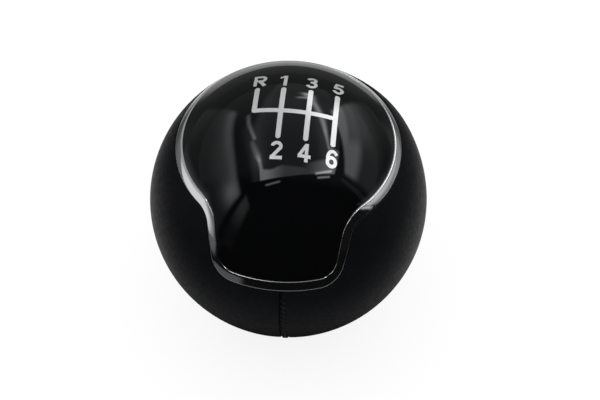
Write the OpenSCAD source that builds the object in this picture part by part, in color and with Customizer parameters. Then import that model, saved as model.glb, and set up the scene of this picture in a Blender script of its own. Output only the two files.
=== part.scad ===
// Gear shift knob: a leather ball with a chrome ring and a gloss black cap, pushed onto a 12 mm lever.
// The origin is the middle of the lever hole's mouth, on the flat base. The driver's side faces -Y.

/* [Ball] */
// Diameter of the ball over its leather
ball_d = 52; // [50:0.5:56]
// Height of the base collar's foot below the ball's lowest point
neck_h = 4; // [3.5:0.5:8]
// Thickness of the leather
leather_t = 1.2; // [0.8:0.1:1.6]
// Gap between pieces that are glued or pushed together
seat_gap = 0.05; // [0.03:0.01:0.1]

/* [Seam] */
// How far the front seam lies to the right of the middle
seam_x = 0.95; // [-2:0.05:2]
// Width of the groove along the seam
seam_w = 0.9; // [0.4:0.1:1.4]
// Distance between two stitches along the seam
stitch_pitch = 1.7; // [1.4:0.1:3]
// Length of one stitch
stitch_l = 1.5; // [1:0.1:2]
// Diameter of the thread
thread_d = 0.4; // [0.2:0.05:0.6]

/* [Chrome ring] */
// Angle of the ring's lower edge above the ball's middle, in degrees
ring_angle = 38; // [35:0.5:41]
// Height of the ring's band
ring_h = 1.65; // [1.2:0.05:2.2]
// How far the front tongue hangs below the ring's lower edge
tongue_drop = 9.5; // [8:0.25:11]
// Width of the tongue at its foot, before its corners are rounded
tongue_w = 22.1; // [20:0.5:24]
// Lean of the tongue's sides, in degrees
tongue_flare = 12.4; // [8:0.2:16]
// Radius of the tongue's lower corners
tongue_r = 4; // [3:0.25:5]
// Radius where the tongue runs into the ring
shoulder_r = 1.75; // [1:0.25:3]
// Width of the ring below the tongue
ring_foot_w = 2.15; // [1.6:0.05:2.6]
// Width of the ring beside the tongue
ring_side_w = 1.5; // [1.1:0.05:2]
// Lean of the cap's tongue sides inside the ring, in degrees
cap_flare = 9.6; // [6:0.2:12]
// Radius of the cap's lower corners
cap_corner_r = 2.6; // [1.5:0.1:3.5]
// Radius where the cap's tongue runs into its round part
cap_shoulder_r = 2.8; // [1.5:0.1:3.5]
// Length of the lugs below the ring
lug_l = 3; // [2:0.25:4]
// Width of the lugs
lug_w = 3; // [2:0.25:4]

/* [Gloss cap] */
// How far the cap lies below the leather
cap_step = 0.4; // [0:0.1:0.8]
// Wall of the cap and of the ring behind it
cap_t = 2.2; // [1.8:0.1:2.6]
// Width of the cap's three snap legs
leg_w = 5; // [3:0.5:6]
// Thickness of the snap legs
leg_t = 1.5; // [1:0.1:1.8]
// Gap between the legs' hooks and the carrier's round wall
leg_gap = 0.35; // [0.3:0.05:2]

/* [Carrier] */
// Depth of the carrier's seat below the ring's lower edge
carrier_drop = 3; // [2.5:0.25:3.5]
// Thickness of the carrier plate
carrier_t = 2; // [1.6:0.1:2.4]
// Diameter of the screws' shanks
screw_d = 2.5; // [2:0.1:3]
// Diameter of the screw heads
head_d = 4.8; // [4:0.1:5.2]
// Length of the screws below their heads
screw_l = 8; // [6:0.5:9]

/* [Core] */
// Wall of the core
core_wall = 3.5; // [3:0.1:4]
// Height of the joint between the two halves of the core above the ball's centre
split_level = 3; // [2:0.5:4]
// Thickness of the ribs
rib_t = 2; // [1.5:0.1:2.5]
// Height of the balance weight
weight_h = 14.5; // [10:0.5:15]

/* [Lever socket] */
// Diameter of the lever hole
bore_d = 12; // [10:0.5:13]
// Gap between the sleeve's closed end and the carrier. At 3.6 the lever hole is 35 mm deep.
sleeve_drop = 3.6; // [2:0.2:8]
// Wall of the steel sleeve
sleeve_t = 2; // [1.6:0.1:2.2]
// Thickness of the sleeve's closed end
sleeve_end_t = 2.4; // [2:0.1:3]
// Thickness of the rubber stop pad
pad_t = 2; // [1.5:0.25:2.5]
// Thickness of the rubber bush round the sleeve
bush_t = 2.1; // [1.6:0.1:2.5]
// Wall of the tube that holds the bush
tube_t = 2; // [1.5:0.1:2.5]
// Width of the slots between the sleeve's fingers
slot_w = 1.2; // [0.8:0.1:1.6]
// Length of those slots
slot_l = 8; // [5:0.5:9]

/* [Base collar] */
// Thickness of the clamp ring round the sleeve's fingers
clamp_t = 1.15; // [0.8:0.05:1.4]
// Height of the clamp ring
clamp_h = 3; // [2:0.1:3.2]
// Wall of the collar at its foot
base_wall = 2.2; // [1.8:0.1:2.6]
// Chamfer round the collar's foot, over which the gaiter's ring is pushed
foot_chamfer = 0.4; // [0.2:0.1:0.6]
// How far the collar's lip stands out under the leather
lip_w = 1.5; // [1:0.1:2]
// Width of the groove that holds the gaiter
groove_w = 1.8; // [1.4:0.1:2]
// Depth of that groove
groove_depth = 0.9; // [0.5:0.1:1]

/* [Hidden] */
$fn = 96;

// Gap below the cap, and between pieces that are pushed past each other
loose_gap = 0.1;
slide_gap = 0.2;
// Spare length that a cut runs past what it cuts
over = 1;
// Steps in each round corner of the tongue
arc_steps = 10;

// Radii of the ball's layers, all about the ball's centre
ball_r = ball_d / 2;
ball_z = neck_h + ball_r;
core_r = ball_r - leather_t - seat_gap;
cavity_r = core_r - core_wall;
cap_r = ball_r - cap_step;
cap_in_r = cap_r - cap_t;
nest_r = cap_in_r - loose_gap;
far = ball_r + over;
ring_level = ball_r * sin(ring_angle);
seat_level = ring_level - carrier_drop;

// Radius at height h of a ball of radius r
function plan_r(r, h) = sqrt(r * r - h * h);

// Sleeve, bush and tube, from the lever hole outwards
bore_r = bore_d / 2;
bore_depth = ball_z + seat_level - sleeve_drop - sleeve_end_t - pad_t;
sleeve_r = bore_r + sleeve_t;
sleeve_top = bore_depth + pad_t + sleeve_end_t;
pad_inset = 0.6;
pad_r = bore_r - pad_inset;
tube_bore_r = sleeve_r + bush_t + 2 * seat_gap;
tube_r = tube_bore_r + tube_t;
tube_rise = 0.5;
tube_top = bore_depth + tube_rise;
tube_lip_t = 2.4;
tube_lip_gap = 0.3;
tube_lip_r = sleeve_r + tube_lip_gap;
washer_t = 0.8;
washer_lap = 1;
washer_r = tube_bore_r + washer_lap;
clip_t = 1;
clip_w = 2.4;
clip_bite = 0.6;
clip_gap_w = 7;
clip_z = tube_top + washer_t + 2 * seat_gap;

// Base collar, and the spigot by which it snaps into the tube
clamp_z = 1;
clamp_r = sleeve_r + seat_gap + clamp_t;
clamp_slit_w = 2;
collar_bore_r = clamp_r + loose_gap;
base_r = collar_bore_r + base_wall;
lip_r = base_r + lip_w;
lip_rise = 0.6;
lip_z = neck_h + lip_rise;
lip_slope = 1.4;
groove_drop = 0.6;
groove_top = neck_h - groove_drop;
spigot_r = tube_bore_r - seat_gap;
spigot_gap = 0.4;
spigot_in_r = sleeve_r + spigot_gap;
spigot_rise = 5.1;
spigot_top = ball_z - core_r + spigot_rise;
bead_h = 0.8;
bead_drop = 1.6;
bead_z = spigot_top - bead_drop;
bead_bite = 0.35;
leather_gap = 0.45;
leather_hole_r = spigot_r + leather_gap;

// Carrier, its screws and the mouth of the upper core
plate_top = seat_level + carrier_t;
mouth_r = plan_r(cap_in_r, ring_level) + loose_gap;
head_h = 1.6;
head_dome_h = 0.5;
head_gap = 0.5;
screw_ring_r = mouth_r - head_d / 2 - head_gap;
screw_angles = [90, 210, 330];
wall_gap = 0.4;
wall_out_r = screw_ring_r - head_d / 2 - wall_gap;
wall_t = 1.5;
plate_hole_r = 4.5;
post_r = 3;
cross_w = 0.8;
cross_l = 2.8;
cross_depth = 1;

// Snap legs of the cap, halfway between the screws
leg_angles = [30, 150, 270];
hook_w = 0.9;
hook_h = 0.8;
hook_gap = 0.15;
leg_foot = seat_level - hook_h - hook_gap;
leg_r = wall_out_r - wall_t - leg_gap - hook_w - leg_t;

// Lugs of the ring
lug_angles = [0, 60, 120, 180];
lug_t = 1.1;
lug_r = mouth_r + loose_gap;

// Joint between the core's halves
joint_lip_h = 1.6;
joint_lip_t = 1;
joint_r = cavity_r + slide_gap;

// Balance weight, and the ribs above and below it
weight_gap = 0.3;
weight_top = split_level - weight_gap;
weight_foot = weight_top - weight_h;
weight_inset = 0.85;
weight_r = cavity_r - weight_inset;
rib_count = 6;
rib_rise = 0.5;

// Where the seam's groove is cut, and how its stitches lie
seam_rise = 0.1;
stitch_slant = 50;
stitch_margin = 3;
thread_gap = 0.02;

module ball_at() {
    translate([0, 0, ball_z])
        children();
}

module round_shell(outer_r, inner_r) {
    difference() {
        sphere(r = outer_r, $fn = 180);
        sphere(r = inner_r, $fn = 180);
    }
}

// Points along an arc about (x, y), between two angles
function arc(x, y, r, from, to) = [
    for (i = [0 : arc_steps])
        let (angle = from + (to - from) * i / arc_steps)
            [x + r * cos(angle), y + r * sin(angle)]
];

// The same points on the left, in reverse order
function mirrored(points) = [
    for (i = [len(points) - 1 : -1 : 0])
        [-points[i][0], points[i][1]]
];

// Right half of a tongue's front outline, from its foot round the corner and up to the shoulder
function half_tongue(level, foot, half_w, flare, corner_r, blend_r) =
    let (
        corner_x = half_w + corner_r * tan(flare) - corner_r / cos(flare),
        blend_y = level - blend_r,
        blend_x = half_w + (blend_y - foot) * tan(flare) + blend_r / cos(flare)
    )
    concat(
        arc(corner_x, foot + corner_r, corner_r, -90, -flare),
        arc(blend_x, blend_y, blend_r, 180 - flare, 90),
        [[blend_x, level + over]]
    );

// All the space above one edge of the ring: the level part, and the tongue in front
module zone(level, foot, half_w, flare, corner_r, blend_r) {
    half = half_tongue(level, foot, half_w, flare, corner_r, blend_r);
    translate([-far, -far, level])
        cube([2 * far, 2 * far, far]);
    rotate([90, 0, 0])
        linear_extrude(height = far)
            polygon(concat(half, mirrored(half)));
}

// Space above the ring's outer edge, grown outwards by g
module outer_zone(g = 0) {
    side = g / cos(tongue_flare) - g * tan(tongue_flare);
    zone(ring_level - g, ring_level - tongue_drop - g, tongue_w / 2 + side,
        tongue_flare, tongue_r + g, shoulder_r - g);
}

// Space above the ring's inner edge, shrunk inwards by g
module inner_zone(g = 0) {
    foot = ring_level - tongue_drop + ring_foot_w;
    half_w = tongue_w / 2 + ring_foot_w * tan(tongue_flare) - ring_side_w;
    side = g / cos(cap_flare) - g * tan(cap_flare);
    zone(ring_level + ring_h + g, foot + g, half_w - side, cap_flare, cap_corner_r - g, cap_shoulder_r + g);
}

// Slab between two heights, wide enough to cut the whole ball
module slab(low, high) {
    translate([-far, -far, low])
        cube([2 * far, 2 * far, high - low]);
}

module leather_cover() {
    color([0.06, 0.058, 0.055])
        ball_at()
            difference() {
                round_shell(ball_r, ball_r - leather_t);
                outer_zone(seat_gap);
                translate([0, 0, -far])
                    cylinder(r = leather_hole_r, h = far);
                seam_groove();
            }
}

// Round-bottomed groove down the front, where the two edges of the leather meet
module seam_groove() {
    intersection() {
        translate([seam_x, 0, 0])
            rotate([0, 90, 0])
                rotate_extrude($fn = 180)
                    translate([plan_r(ball_r, seam_x) + seam_rise, 0])
                        circle(d = seam_w, $fn = 24);
        translate([-far, -far - over, -far])
            cube([2 * far, far + over, 2 * far]);
    }
}

// Slanted stitches beside the groove, from the ring down to the collar
module seam_thread() {
    stitch_r = ball_r + thread_d / 2 + thread_gap;
    high = asin((ring_level - tongue_drop) / ball_r) - stitch_margin;
    low = -asin(plan_r(ball_r, lip_r) / ball_r) + stitch_margin;
    step = stitch_pitch / ball_r * 180 / PI;
    swing = asin((seam_x + seam_w / 2 + stitch_l * 0.42) / ball_r);
    color([0.03, 0.03, 0.032])
        ball_at()
            for (tilt = [low : step : high])
                rotate([-tilt, 0, 0])
                    rotate([0, 0, swing])
                        translate([0, -stitch_r, 0])
                            rotate([0, -stitch_slant, 0])
                                cylinder(d = thread_d, h = stitch_l, center = true, $fn = 16);
}

module trim_ring() {
    color([0.78, 0.79, 0.8])
        ball_at() {
            difference() {
                intersection() {
                    round_shell(ball_r, cap_in_r);
                    outer_zone();
                }
                inner_zone();
            }
            for (angle = lug_angles)
                rotate([0, 0, angle])
                    translate([lug_r, -lug_w / 2, ring_level - lug_l])
                        cube([lug_t, lug_w, lug_l + ring_h / 3]);
        }
}

module shift_cap() {
    color([0.015, 0.015, 0.017])
        ball_at() {
            intersection() {
                round_shell(cap_r, cap_in_r);
                inner_zone(seat_gap);
            }
            for (angle = leg_angles)
                rotate([0, 0, angle])
                    snap_leg();
        }
}

// One leg, rooted in the cap's wall, with its hook below the carrier plate
module snap_leg() {
    leg_top = plan_r(cap_in_r, leg_r) + cap_t / 3;
    translate([leg_r, -leg_w / 2, leg_foot])
        cube([leg_t, leg_w, leg_top - leg_foot]);
    translate([leg_r + leg_t - over, -leg_w / 2, leg_foot])
        cube([hook_w + over, leg_w, hook_h]);
}

module cap_carrier() {
    color([0.16, 0.16, 0.17])
        ball_at()
            difference() {
                union() {
                    translate([0, 0, seat_level + seat_gap])
                        cylinder(r = mouth_r - slide_gap, h = carrier_t - seat_gap);
                    dome_support();
                }
                translate([0, 0, seat_level - over])
                    cylinder(r = plate_hole_r, h = carrier_t + 2 * over);
                for (angle = screw_angles)
                    rotate([0, 0, angle])
                        translate([screw_ring_r, 0, seat_level - over])
                            cylinder(d = screw_d + slide_gap, h = carrier_t + 2 * over);
                for (angle = leg_angles)
                    rotate([0, 0, angle])
                        leg_window();
            }
}

// Opening in the carrier for one leg
module leg_window() {
    translate([leg_r - slide_gap, -leg_w / 2 - slide_gap, seat_level - over])
        cube([leg_t + 2 * slide_gap, leg_w + 2 * slide_gap, carrier_t + 2 * over]);
}

// Round wall and ribs that reach up to the inside of the cap
module dome_support() {
    intersection() {
        union() {
            difference() {
                translate([0, 0, plate_top - over])
                    cylinder(r = wall_out_r, h = far);
                translate([0, 0, plate_top - 2 * over])
                    cylinder(r = wall_out_r - wall_t, h = far + 2 * over);
            }
            for (i = [0 : rib_count - 1])
                rotate([0, 0, i * 360 / rib_count])
                    translate([wall_out_r - wall_t / 2, -wall_t / 2, plate_top - over])
                        cube([mouth_r - wall_out_r + wall_t / 2 - over, wall_t, far]);
        }
        sphere(r = nest_r, $fn = 96);
    }
}

// Pan-head screws with a cross recess, from the carrier down into the upper core
module carrier_screws() {
    color([0.55, 0.55, 0.57])
        ball_at()
            for (angle = screw_angles)
                rotate([0, 0, angle])
                    translate([screw_ring_r, 0, plate_top + seat_gap])
                        screw();
}

module screw() {
    translate([0, 0, -screw_l])
        cylinder(d = screw_d, h = screw_l + head_dome_h);
    difference() {
        union() {
            cylinder(d = head_d, h = head_h - head_dome_h);
            translate([0, 0, head_h - head_dome_h])
                cylinder(d1 = head_d, d2 = head_d - 2 * head_dome_h, h = head_dome_h);
        }
        for (angle = [0, 90])
            rotate([0, 0, angle])
                translate([-cross_l / 2, -cross_w / 2, head_h - cross_depth])
                    cube([cross_l, cross_w, cross_depth + over]);
    }
}

module upper_core() {
    color([0.22, 0.22, 0.24])
        ball_at()
            difference() {
                union() {
                    upper_wall();
                    screw_posts();
                }
                for (angle = screw_angles)
                    rotate([0, 0, angle])
                        translate([screw_ring_r, 0, plate_top - screw_l - over])
                            cylinder(d = screw_d + loose_gap, h = screw_l + over);
                for (angle = lug_angles)
                    rotate([0, 0, angle])
                        lug_slot();
            }
}

// Wall of the upper core: full size under the leather, stepped in under the ring and cap
module upper_wall() {
    difference() {
        intersection() {
            union() {
                difference() {
                    sphere(r = core_r, $fn = 180);
                    outer_zone(seat_gap);
                }
                sphere(r = nest_r, $fn = 180);
            }
            slab(split_level + seat_gap, ring_level - seat_gap);
        }
        intersection() {
            sphere(r = cavity_r, $fn = 180);
            slab(-far, seat_level);
        }
        translate([0, 0, seat_level])
            cylinder(r = mouth_r, h = far);
    }
    translate([0, 0, split_level - joint_lip_h])
        difference() {
            cylinder(r = joint_r + joint_lip_t, h = joint_lip_h + 2 * over);
            translate([0, 0, -over])
                cylinder(r = joint_r, h = joint_lip_h + 4 * over);
        }
}

// Three posts for the screws, each tied to the wall by a rib. They also hold the weight down,
// and are cut back where they pass the tube, the washer and the clip.
module screw_posts() {
    foot = weight_top + loose_gap;
    clip_top = clip_z + clip_t - ball_z;
    difference() {
        for (angle = screw_angles)
            rotate([0, 0, angle])
                intersection() {
                    union() {
                        translate([screw_ring_r, 0, foot])
                            cylinder(r = post_r, h = seat_level - foot);
                        translate([screw_ring_r, -rib_t / 2, split_level + rib_rise])
                            cube([far, rib_t, seat_level - split_level - rib_rise]);
                    }
                    sphere(r = cavity_r + over / 2, $fn = 96);
                }
        translate([0, 0, clip_top + slide_gap - far])
            cylinder(r = tube_r + slide_gap, h = far);
    }
}

module lug_slot() {
    translate([mouth_r - over, -lug_w / 2 - slide_gap, ring_level - lug_l - slide_gap])
        cube([lug_t + loose_gap + slide_gap + over, lug_w + 2 * slide_gap, lug_l + over]);
}

module lower_core() {
    color([0.22, 0.22, 0.24])
        difference() {
            union() {
                lower_bowl();
                centre_tube();
                weight_ribs();
            }
            translate([0, 0, -over])
                cylinder(r = tube_bore_r, h = tube_top - tube_lip_t + over);
            cylinder(r = tube_lip_r, h = tube_top + over);
            translate([0, 0, bead_z - seat_gap])
                cylinder(r = spigot_r + bead_bite + loose_gap, h = bead_h + 2 * seat_gap);
        }
}

module lower_bowl() {
    ball_at()
        difference() {
            round_shell(core_r, cavity_r);
            slab(split_level, far);
            translate([0, 0, split_level - joint_lip_h - loose_gap])
                cylinder(r = joint_r + joint_lip_t + seat_gap, h = far);
        }
}

module centre_tube() {
    intersection() {
        cylinder(r = tube_r, h = tube_top);
        ball_at()
            sphere(r = core_r, $fn = 180);
    }
}

// Ribs between the tube and the bowl, on which the weight rests
module weight_ribs() {
    ball_at()
        intersection() {
            for (i = [0 : rib_count - 1])
                rotate([0, 0, (i + 0.5) * 360 / rib_count])
                    translate([tube_r - over / 2, -rib_t / 2, -far])
                        cube([far, rib_t, far + weight_foot - seat_gap]);
            sphere(r = cavity_r + over / 2, $fn = 96);
        }
}

module balance_weight() {
    color([0.45, 0.46, 0.47])
        ball_at()
            difference() {
                intersection() {
                    translate([0, 0, weight_foot])
                        cylinder(r = weight_r, h = weight_h);
                    sphere(r = cavity_r - weight_gap, $fn = 96);
                }
                translate([0, 0, weight_foot - over])
                    cylinder(r = tube_r + weight_gap, h = weight_h + 2 * over);
            }
}

// Blind steel sleeve for the lever, slotted at its mouth and grooved for the clip near its closed end.
// The stop pad sits in a pocket past the end of the lever hole.
module lever_sleeve() {
    color([0.6, 0.61, 0.62])
        difference() {
            cylinder(r = sleeve_r, h = sleeve_top);
            translate([0, 0, -over])
                cylinder(r = bore_r, h = bore_depth + over);
            cylinder(r = pad_r + seat_gap, h = bore_depth + pad_t);
            for (angle = [45, 135])
                rotate([0, 0, angle])
                    translate([-far, -slot_w / 2, -over])
                        cube([2 * far, slot_w, slot_l + over]);
            translate([0, 0, clip_z - seat_gap])
                difference() {
                    cylinder(r = sleeve_r + over, h = clip_t + 2 * seat_gap);
                    translate([0, 0, -over])
                        cylinder(r = sleeve_r - clip_bite, h = clip_t + 2 * over);
                }
        }
}

// Rubber bush with three soft waists
module isolator_bush() {
    foot = spigot_top + loose_gap;
    height = tube_top - tube_lip_t - loose_gap - foot;
    waist_w = 2.4;
    waist_depth = 0.8;
    color([0.05, 0.05, 0.05])
        difference() {
            translate([0, 0, foot])
                cylinder(r = tube_bore_r - seat_gap, h = height);
            translate([0, 0, foot - over])
                cylinder(r = sleeve_r + seat_gap, h = height + 2 * over);
            for (i = [1 : 3])
                translate([0, 0, foot + i * height / 4])
                    rotate_extrude()
                        translate([tube_bore_r - seat_gap - waist_depth, -waist_w / 2])
                            square([waist_depth + over, waist_w]);
        }
}

module thrust_washer() {
    color([0.65, 0.65, 0.66])
        translate([0, 0, tube_top + seat_gap])
            difference() {
                cylinder(r = washer_r, h = washer_t);
                translate([0, 0, -over])
                    cylinder(r = sleeve_r + seat_gap, h = washer_t + 2 * over);
            }
}

// Open ring in the sleeve's groove, above the washer
module retaining_clip() {
    inner_r = sleeve_r - clip_bite + seat_gap;
    color([0.35, 0.35, 0.37])
        translate([0, 0, clip_z])
            difference() {
                cylinder(r = inner_r + clip_w, h = clip_t);
                translate([0, 0, -over])
                    cylinder(r = inner_r, h = clip_t + 2 * over);
                translate([0, -clip_gap_w / 2, -over])
                    cube([far, clip_gap_w, clip_t + 2 * over]);
            }
}

module stop_pad() {
    color([0.05, 0.05, 0.05])
        translate([0, 0, bore_depth])
            cylinder(r = pad_r, h = pad_t - seat_gap);
}

// Split spring ring that squeezes the sleeve's fingers onto the lever
module clamp_ring() {
    color([0.5, 0.5, 0.52])
        translate([0, 0, clamp_z])
            difference() {
                cylinder(r = clamp_r, h = clamp_h);
                translate([0, 0, -over])
                    cylinder(r = sleeve_r + seat_gap, h = clamp_h + 2 * over);
                translate([0, -clamp_slit_w / 2, -over])
                    cube([far, clamp_slit_w, clamp_h + 2 * over]);
            }
}

// Collar that covers the leather's lower edge, with the gaiter's groove and a snap spigot
module base_collar() {
    shelf = clamp_z + clamp_h + slide_gap;
    color([0.05, 0.05, 0.052]) {
        difference() {
            rotate_extrude()
                polygon([
                    [collar_bore_r, 0],
                    [base_r - foot_chamfer, 0],
                    [base_r, foot_chamfer],
                    [base_r, groove_top - groove_w],
                    [base_r - groove_depth, groove_top - groove_w],
                    [base_r - groove_depth, groove_top],
                    [base_r, groove_top],
                    [base_r, lip_z],
                    [lip_r, lip_z + lip_slope],
                    [lip_r, ball_z],
                    [spigot_r, ball_z],
                    [spigot_r, shelf],
                    [collar_bore_r, shelf]
                ]);
            ball_at()
                sphere(r = ball_r + seat_gap, $fn = 180);
        }
        difference() {
            union() {
                translate([0, 0, shelf])
                    cylinder(r = spigot_r, h = spigot_top - shelf);
                translate([0, 0, bead_z])
                    cylinder(r = spigot_r + bead_bite, h = bead_h);
            }
            translate([0, 0, shelf - over])
                cylinder(r = spigot_in_r, h = spigot_top - shelf + 2 * over);
        }
    }
}

leather_cover();
seam_thread();
trim_ring();
shift_cap();
cap_carrier();
carrier_screws();
upper_core();
lower_core();
balance_weight();
lever_sleeve();
isolator_bush();
thrust_washer();
retaining_clip();
stop_pad();
clamp_ring();
base_collar();
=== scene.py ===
"""Gear shift knob: a leather ball with a chrome ring, a gloss cap and a printed gate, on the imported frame."""

import math

import bpy
import numpy as np
from mathutils import Matrix, Vector
from mathutils.geometry import delaunay_2d_cdt


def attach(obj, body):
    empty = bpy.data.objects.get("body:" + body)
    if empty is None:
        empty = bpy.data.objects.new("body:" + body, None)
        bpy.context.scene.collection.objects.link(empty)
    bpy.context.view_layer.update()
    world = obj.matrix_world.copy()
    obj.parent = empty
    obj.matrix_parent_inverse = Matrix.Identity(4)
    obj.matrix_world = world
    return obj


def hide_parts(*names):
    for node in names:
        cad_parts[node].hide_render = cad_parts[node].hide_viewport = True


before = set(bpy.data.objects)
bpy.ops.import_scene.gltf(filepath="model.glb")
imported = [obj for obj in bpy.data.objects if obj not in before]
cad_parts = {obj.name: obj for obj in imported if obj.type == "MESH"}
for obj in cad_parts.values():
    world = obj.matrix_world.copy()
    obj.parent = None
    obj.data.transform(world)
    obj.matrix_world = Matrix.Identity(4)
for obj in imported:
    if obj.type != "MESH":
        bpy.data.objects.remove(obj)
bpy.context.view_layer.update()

# Sizes of the knob in millimetres. Heights inside the ball are above its centre.
MM = 0.001
BALL_R = 26.0
BALL_Z = 30.0
LEATHER_T = 1.2
SEAT_GAP = 0.05
LEATHER_HOLE_R = 10.6
LEATHER_ROLL_R = 0.25
CAP_R = 25.88
CAP_IN_R = 23.4
CAP_EDGE_R = 0.08
SEAM_X = 0.95

# The chrome ring: its lower edge and its tongue's foot, its widths, its face with how far that bows out,
# and where its walls get one more row of points, so that they stay flat below the rounded edges
RING_ANGLE = 38
TONGUE_DROP = 9.5
RING_LEVEL = BALL_R * math.sin(math.radians(RING_ANGLE))
RING_FOOT = RING_LEVEL - TONGUE_DROP
RING_H = 1.36
RING_FOOT_W = 1.96
RING_R = 26.02
RING_BOW = 0.01
RING_WALL_R = CAP_R - 1

# The ring's outer and inner edges: level, foot, half width at the foot, lean of the sides in degrees,
# corner radius and shoulder radius
OUTER = (RING_LEVEL, RING_FOOT, 11.05, 12.4, 4.0, 1.75)
INNER = (RING_LEVEL + RING_H, RING_FOOT + RING_FOOT_W, 10.07, 9.44, 2.86, 3.03)

# Radii that round the ring's edges. The inner one grows at the tongue and a little on the right.
OUTER_EDGE_R = 0.22
INNER_EDGE_R = 0.06
INNER_EDGE_TONGUE = 0.14
INNER_EDGE_RIGHT = 0.06

# The camera: the photograph's size, the ball's centre and the focal length in pixels,
# then its distance from the ball's centre and the way it is turned
PHOTO_W = 600
PHOTO_H = 400
BALL_PX = (288.49, 199.13)
FOCAL_PX = 1655.0
CAMERA_DISTANCE = 312.0
CAMERA_RIGHT = Vector((0.9955, 0.0945, 0.0007))
CAMERA_UP = Vector((-0.0763, 0.7990, 0.5965))


def make_camera():
    """The photograph's camera, turned so that the ball's centre falls on its pixel."""
    data = bpy.data.cameras.new("camera")
    data.sensor_width = 36.0
    data.lens = FOCAL_PX / PHOTO_W * data.sensor_width
    data.clip_start = 0.01
    data.clip_end = 10.0
    obj = bpy.data.objects.new("camera", data)
    bpy.context.scene.collection.objects.link(obj)
    back = CAMERA_RIGHT.cross(CAMERA_UP).normalized()
    right_px = PHOTO_W / 2 - BALL_PX[0]
    down_px = PHOTO_H / 2 - BALL_PX[1]
    aim = (CAMERA_RIGHT * right_px - CAMERA_UP * down_px - back * FOCAL_PX).normalized()
    right = aim.cross(CAMERA_UP).normalized()
    up = right.cross(aim)
    turn = Matrix((right, up, -aim)).transposed()
    place = (Vector((0, 0, BALL_Z)) + back * CAMERA_DISTANCE) * MM
    obj.matrix_world = Matrix.Translation(place) @ turn.to_4x4()
    bpy.context.scene.camera = obj


# Meshes


def new_object(name, points, faces, sharp=()):
    """A smooth-shaded mesh object from points in millimetres. Edges in sharp stay crisp."""
    mesh = bpy.data.meshes.new(name)
    mesh.from_pydata((np.asarray(points) * MM).tolist(), [], faces)
    mesh.shade_smooth()
    if sharp:
        wanted = {tuple(sorted(pair)) for pair in sharp}
        for e in mesh.edges:
            if tuple(sorted(e.vertices)) in wanted:
                e.use_edge_sharp = True
    obj = bpy.data.objects.new(name, mesh)
    bpy.context.scene.collection.objects.link(obj)
    return obj


def smooth(low, high, value):
    """A soft step from 0 to 1 as value goes from low to high."""
    t = np.clip((value - low) / (high - low), 0, 1)
    return t * t * (3 - 2 * t)


def grid_faces(rows, columns, close_rows):
    """Quads of a grid whose columns close into a loop. With close_rows, so do its rows."""
    i = np.arange(rows if close_rows else rows - 1)
    j = np.arange(columns)
    a = i[:, None] * columns + j[None, :]
    b = i[:, None] * columns + (j[None, :] + 1) % columns
    c = ((i[:, None] + 1) % rows) * columns + (j[None, :] + 1) % columns
    d = ((i[:, None] + 1) % rows) * columns + j[None, :]
    return np.stack([a, b, c, d], axis=-1).reshape(-1, 4).tolist()


def fan(tip, start, columns):
    """Triangles between the point tip and a closed row of points that begins at start."""
    return [[tip, start + (j + 1) % columns, start + j] for j in range(columns)]


def flipped(faces):
    """The same faces, turned to the other side."""
    return [face[::-1] for face in faces]


def stations(counts):
    """Places along an outline, whose stretches are the foot, corner, flank, shoulder and level.

    A whole number ends each stretch, and the left half has negative numbers.
    """
    half = np.concatenate([k + np.arange(n) / n for k, n in enumerate(counts)])
    return np.concatenate([half, [float(len(counts))], -half[:0:-1]])


def edge(outline, grow, radius, at):
    """Points of an edge of the ring at these stations, on a ball of that radius.

    The outline is grown outwards by grow, which may be one number or one for each station.
    """
    level, foot, half_w, flare, corner_r, shoulder_r = outline
    lean = math.radians(flare)
    level, foot = level - grow, foot - grow
    half_w = half_w + grow / math.cos(lean) - grow * math.tan(lean)
    corner_r, shoulder_r = corner_r + grow, shoulder_r - grow
    corner_x = half_w + corner_r * math.tan(lean) - corner_r / math.cos(lean)
    blend_z = level - shoulder_r
    blend_x = half_w + (blend_z - foot) * math.tan(lean) + shoulder_r / math.cos(lean)
    side, place = np.sign(at), np.abs(at)
    stretch = np.minimum(place.astype(int), len(STRETCHES) - 1)
    part = place - stretch
    corner_a = np.radians(-90 + part * (90 - flare))
    shoulder_a = np.radians(180 - flare + part * (flare - 90))
    flank = [
        (corner_x + corner_r * math.cos(lean), foot + corner_r - corner_r * math.sin(lean)),
        (blend_x - shoulder_r * math.cos(lean), blend_z + shoulder_r * math.sin(lean)),
    ]
    x = np.choose(stretch, [
        part * corner_x,
        corner_x + corner_r * np.cos(corner_a),
        flank[0][0] + part * (flank[1][0] - flank[0][0]),
        blend_x + shoulder_r * np.cos(shoulder_a),
        part * 0 + blend_x,
    ])
    z = np.choose(stretch, [
        part * 0 + foot,
        foot + corner_r + corner_r * np.sin(corner_a),
        flank[0][1] + part * (flank[1][1] - flank[0][1]),
        blend_z + shoulder_r * np.sin(shoulder_a),
        part * 0 + level,
    ])
    y = -np.sqrt(radius ** 2 - x ** 2 - z ** 2)
    start = np.arctan2(blend_x, np.sqrt(radius ** 2 - blend_x ** 2 - level ** 2))
    turn = start + part * (math.pi - start)
    plan_r = np.sqrt(radius ** 2 - level ** 2)
    back = stretch == len(STRETCHES) - 1
    x = np.where(back, plan_r * np.sin(turn), x)
    y = np.where(back, -plan_r * np.cos(turn), y)
    return np.c_[side * x, y, z]


def unit(points):
    """Directions of the points from the ball's centre."""
    return points / np.linalg.norm(points, axis=-1, keepdims=True)


def between(a, b, share, radius):
    """Points on a ball of that radius, a share of the way from the points a to the points b."""
    return unit(unit(a) * (1 - share) + unit(b) * share) * radius


def turned(start, end, share):
    """Unit directions, that share of the angle from one direction to each of the others."""
    end = unit(end)
    angle = np.arccos(np.clip(end @ start, -1, 1))[:, None]
    return (np.sin((1 - share) * angle) * start + np.sin(share * angle) * end) / np.sin(angle)


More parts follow.
